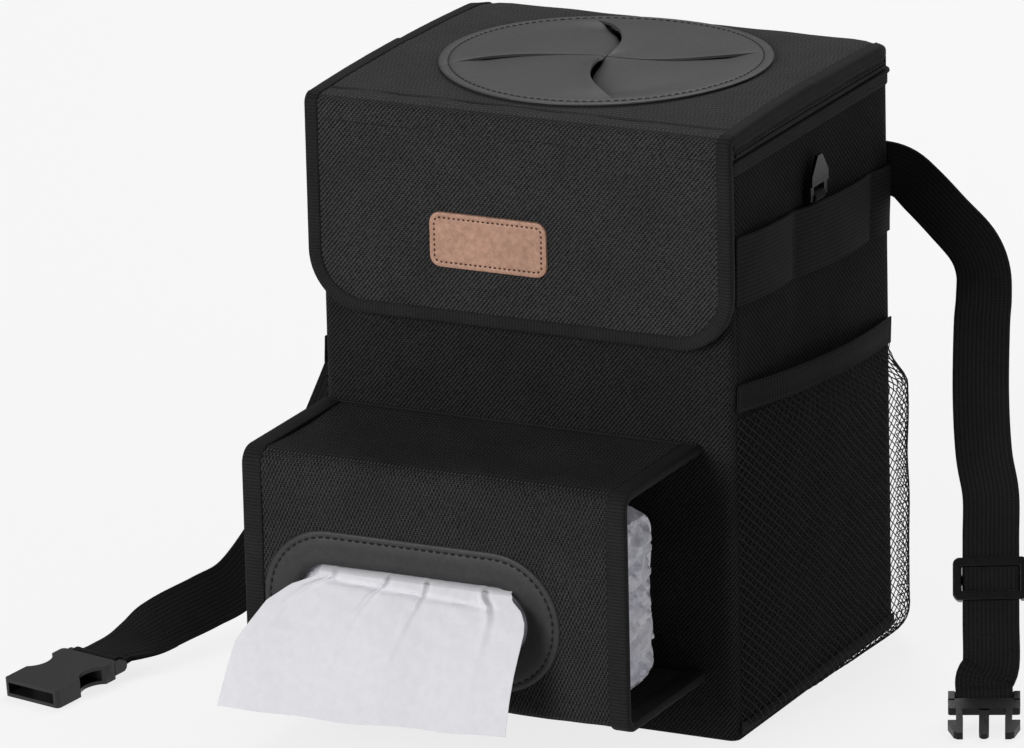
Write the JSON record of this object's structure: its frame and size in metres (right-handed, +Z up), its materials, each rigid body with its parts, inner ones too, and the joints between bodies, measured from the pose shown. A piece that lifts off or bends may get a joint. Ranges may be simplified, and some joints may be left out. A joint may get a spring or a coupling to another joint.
{
  "type": "trunk organizer",
  "caption": "Stiffened fabric car bin with a swirl-slit lid, front flap, tissue holder, side net pockets and two buckle straps.",
  "frame": {"origin": "middle of the underside of the box, on the surface it stands on", "axes": "+X to the bin's right as seen from the front, +Y to the back where the straps are sewn, +Z up"},
  "size_m": [0.4343, 0.2778, 0.2744],
  "materials": {
    "oxford": "matt twill",
    "board": "plain",
    "liner": "smooth coated",
    "tape": "fine ribbed",
    "webbing": "ribbed",
    "net": "open net",
    "disc_rubber": "matt",
    "tan_leather": "fine grain",
    "leatherette": "satin grain",
    "hook_and_loop": "pile",
    "pack_film": "crinkled film",
    "tissue": "soft matt",
    "black_plastic": "moulded satin"
  },
  "bodies": {
    "body": {"front_panel": "oxford", "back_panel": "oxford", "side_panel_left": "oxford", "side_panel_right": "oxford", "base_panel": "oxford", "front_board": "board", "back_board": "board", "side_board_left": "board", "side_board_right": "board", "base_board": "board", "inner_liner": "liner", "rim_binding": "tape", "front_loop_strip": "hook_and_loop", "holder_strip": "oxford", "holder_binding_left": "tape", "holder_binding_right": "tape", "window_surround": "leatherette", "tissue_pack": "pack_film", "tissue_sheet": "tissue", "webbing_band_left": "webbing", "webbing_band_right": "webbing", "pocket_mesh_left": "net", "pocket_mesh_right": "net", "pocket_elastic_left": "webbing", "pocket_elastic_right": "webbing", "hook_tab": "webbing", "strap_cover_left": "oxford", "strap_cover_right": "oxford", "strap_left": "webbing", "strap_right": "webbing"},
    "lid": {"lid_panel": "oxford", "lid_gusset_left": "oxford", "lid_gusset_right": "oxford", "lid_board": "board", "lid_lining": "liner", "lid_binding_left": "tape", "lid_binding_right": "tape", "swirl_disc": "disc_rubber"},
    "flap": {"flap_panel": "oxford", "flap_board": "board", "flap_lining": "oxford", "flap_binding": "tape", "leather_patch": "tan_leather", "flap_hook_strip": "hook_and_loop"},
    "hook": {"side_hook": "black_plastic"},
    "adjuster": {"strap_adjuster": "black_plastic"},
    "socket": {"buckle_socket": "black_plastic"},
    "prongs": {"buckle_prongs": "black_plastic"}
  },
  "joints": [
    {"name": "lid_hinge", "type": "hinge", "parent": "body", "child": "lid", "pos_m": [0, 0.0849, 0.26205], "axis": [-1, 0, 0], "range_deg": [0, 110]},
    {"name": "flap_hinge", "type": "hinge", "parent": "lid", "child": "flap", "pos_m": [0, -0.0852, 0.2737], "axis": [-1, 0, 0], "range_deg": [0, 150]},
    {"name": "hook_swing", "type": "hinge", "parent": "body", "child": "hook", "pos_m": [0.1011, -0.001, 0.225], "axis": [0, 1, 0], "range_deg": [0, 75]},
    {"name": "adjuster_slide", "type": "slide", "parent": "body", "child": "adjuster", "axis": [0.19, -0.4538, -0.8706], "range_m": [-0.008, 0.008]},
    {"name": "socket_pivot", "type": "hinge", "parent": "body", "child": "socket", "pos_m": [-0.202, -0.112, 0.0078], "axis": [-0.9744, 0.225, 0], "range_deg": [0, 80]},
    {"name": "prongs_pivot", "type": "hinge", "parent": "body", "child": "prongs", "pos_m": [0.1838, -0.013, 0.0101], "axis": [-0.9205, -0.3907, 0], "range_deg": [0, 60]}
  ]
}
